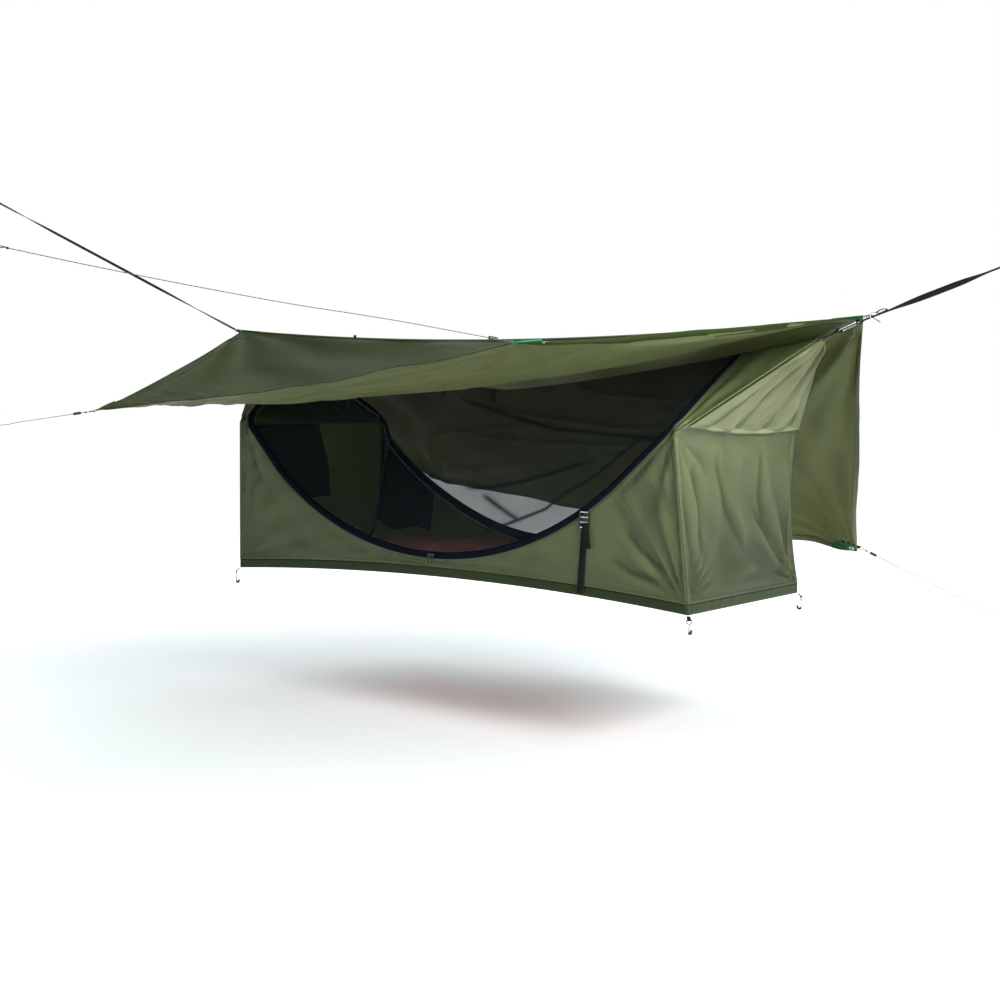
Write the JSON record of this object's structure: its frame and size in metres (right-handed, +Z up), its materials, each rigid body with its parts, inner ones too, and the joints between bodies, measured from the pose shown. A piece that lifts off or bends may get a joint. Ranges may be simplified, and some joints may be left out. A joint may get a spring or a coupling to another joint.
{
  "type": "hammock tent",
  "caption": "Lay-flat hammock tent with net doors, end spreader bars and a ridge tarp pitched as a porch, slung from two tree straps.",
  "frame": {"origin": "middle of the line through the two tree strap eyes, which the tent body hangs and sways on", "axes": "+X along the tent towards its right end, +Y towards its rear, +Z up"},
  "size_m": [5.0838, 3.9236, 1.8191],
  "materials": {
    "ripstop_cloth": "olive ripstop nylon",
    "floor_cloth": "dark coated nylon",
    "tarp_cloth": "olive coated ripstop",
    "insect_net": "fine dark insect net",
    "zip_tape": "navy tape and coil",
    "pad_fabric": "rust-red brushed fabric",
    "black_webbing": "flat woven webbing",
    "green_webbing": "bright green webbing",
    "navy_webbing": "navy webbing sleeve",
    "guy_cord": "grey braided cord with a reflective fleck",
    "pull_cord": "black cord",
    "black_plastic": "moulded",
    "steel": "bright wire",
    "alloy": "drawn tube"
  },
  "bodies": {
    "tarp_and_straps": {"tarp_front": "tarp_cloth", "tarp_rear": "tarp_cloth", "ridge_tab_left": "green_webbing", "ridge_tab_right": "green_webbing", "tarp_ring_left": "steel", "tarp_ring_right": "steel", "corner_loop_front_left": "green_webbing", "corner_loop_front_right": "green_webbing", "corner_loop_rear_right": "black_webbing", "corner_loop_rear_left": "black_webbing", "guyline_front_left": "guy_cord", "guyline_front_right": "guy_cord", "guyline_rear_right": "guy_cord", "tree_strap_left": "black_webbing", "tree_strap_right": "black_webbing"},
    "tent_body": {"front_wall": "ripstop_cloth", "rear_wall": "ripstop_cloth", "end_wall_left": "ripstop_cloth", "end_wall_right": "ripstop_cloth", "bar_cover_left": "ripstop_cloth", "bar_cover_right": "ripstop_cloth", "floor_tub": "floor_cloth", "front_net": "insect_net", "rear_net": "insect_net", "pocket_end": "insect_net", "pocket_rear": "insect_net", "front_zip_tape": "zip_tape", "rear_zip_tape": "zip_tape", "sleeping_pad": "pad_fabric", "front_strap": "black_webbing", "strap_tail": "black_webbing", "ceiling_loop_left": "black_webbing", "ceiling_loop_right": "black_webbing", "corner_tab_front_left": "black_webbing", "corner_tab_front_right": "black_webbing", "corner_tab_rear_right": "black_webbing", "corner_tab_rear_left": "black_webbing", "peak_loop_left": "navy_webbing", "peak_loop_right": "navy_webbing", "ridge_cord": "guy_cord", "ladder_buckle": "black_plastic", "clip_left": "steel", "clip_right": "steel", "spreader_bar_left": "alloy", "spreader_bar_right": "alloy"},
    "zip_slider_left": {"slider_left": "steel"},
    "zip_slider_right": {"slider_right": "steel"},
    "zip_pull_left": {"pull_left": "pull_cord"},
    "zip_pull_right": {"pull_right": "pull_cord"},
    "clip_gate_left": {"gate_left": "steel"},
    "clip_gate_right": {"gate_right": "steel"},
    "stake_hook_front_left": {"hook_front_left": "black_plastic"},
    "stake_hook_front_right": {"hook_front_right": "black_plastic"},
    "stake_hook_rear_right": {"hook_rear_right": "black_plastic"},
    "stake_hook_rear_left": {"hook_rear_left": "black_plastic"},
    "line_lock_front_left": {"lock_front_left": "black_plastic"},
    "line_lock_front_right": {"lock_front_right": "black_plastic"},
    "line_lock_rear_right": {"lock_rear_right": "black_plastic"},
    "door_tie": {"tie_loop": "black_webbing"}
  },
  "joints": [
    {"name": "body_sway", "type": "hinge", "parent": "tarp_and_straps", "child": "tent_body", "pos_m": [0, 0, 0], "axis": [1, 0, 0], "range_deg": [-8, 3]},
    {"name": "zip_left", "type": "hinge", "parent": "tent_body", "child": "zip_slider_left", "pos_m": [-0.05, -0.369, 0.3563], "axis": [0, 1, 0], "range_deg": [0, 38]},
    {"name": "zip_right", "type": "hinge", "parent": "tent_body", "child": "zip_slider_right", "pos_m": [-0.05, -0.369, 0.3563], "axis": [0, 1, 0], "range_deg": [-30.5, 0]},
    {"name": "pull_left_swing", "type": "hinge", "parent": "zip_slider_left", "child": "zip_pull_left", "pos_m": [-0.0578, -0.3731, -0.80728], "axis": [1, 0, 0], "range_deg": [-160, 0]},
    {"name": "pull_right_swing", "type": "hinge", "parent": "zip_slider_right", "child": "zip_pull_right", "pos_m": [-0.0422, -0.3731, -0.80728], "axis": [1, 0, 0], "range_deg": [-160, 0]},
    {"name": "gate_left_open", "type": "hinge", "parent": "tent_body", "child": "clip_gate_left", "pos_m": [-1.32412, 0.016, -0.01777], "axis": [0.3746, 0, 0.9272], "range_deg": [0, 25], "stiffness_Nm_per_rad": 0.02, "springref_deg": -17.19},
    {"name": "gate_right_open", "type": "hinge", "parent": "tent_body", "child": "clip_gate_right", "pos_m": [1.32412, 0.016, -0.01777], "axis": [0.3746, 0, -0.9272], "range_deg": [0, 25], "stiffness_Nm_per_rad": 0.02, "springref_deg": -17.19},
    {"name": "hook_front_left_swing", "type": "hinge", "parent": "tent_body", "child": "stake_hook_front_left", "pos_m": [-1.00981, -0.38981, -0.93154], "axis": [0.7071, -0.7071, 0], "range_deg": [-40, 40]},
    {"name": "hook_front_right_swing", "type": "hinge", "parent": "tent_body", "child": "stake_hook_front_right", "pos_m": [1.00981, -0.38981, -0.93154], "axis": [0.7071, 0.7071, 0], "range_deg": [-40, 40]},
    {"name": "hook_rear_right_swing", "type": "hinge", "parent": "tent_body", "child": "stake_hook_rear_right", "pos_m": [1.00981, 0.38981, -0.93154], "axis": [-0.7071, 0.7071, 0], "range_deg": [-40, 40]},
    {"name": "hook_rear_left_swing", "type": "hinge", "parent": "tent_body", "child": "stake_hook_rear_left", "pos_m": [-1.00981, 0.38981, -0.93154], "axis": [-0.7071, -0.7071, 0], "range_deg": [-40, 40]},
    {"name": "lock_front_left_slide", "type": "slide", "parent": "tarp_and_straps", "child": "line_lock_front_left", "axis": [-0.8088, -0.5667, -0.157], "range_m": [0, 0.12]},
    {"name": "lock_front_right_slide", "type": "slide", "parent": "tarp_and_straps", "child": "line_lock_front_right", "axis": [-0.4371, -0.8889, 0.137], "range_m": [0, 0.12]},
    {"name": "lock_rear_right_slide", "type": "slide", "parent": "tarp_and_straps", "child": "line_lock_rear_right", "axis": [0.7317, 0.5287, -0.4303], "range_m": [0, 0.12]},
    {"name": "door_tie_swing", "type": "hinge", "parent": "tarp_and_straps", "child": "door_tie", "pos_m": [-0.273, -0.56154, -0.24797], "axis": [0, 1, 0], "range_deg": [-45, 45]}
  ]
}
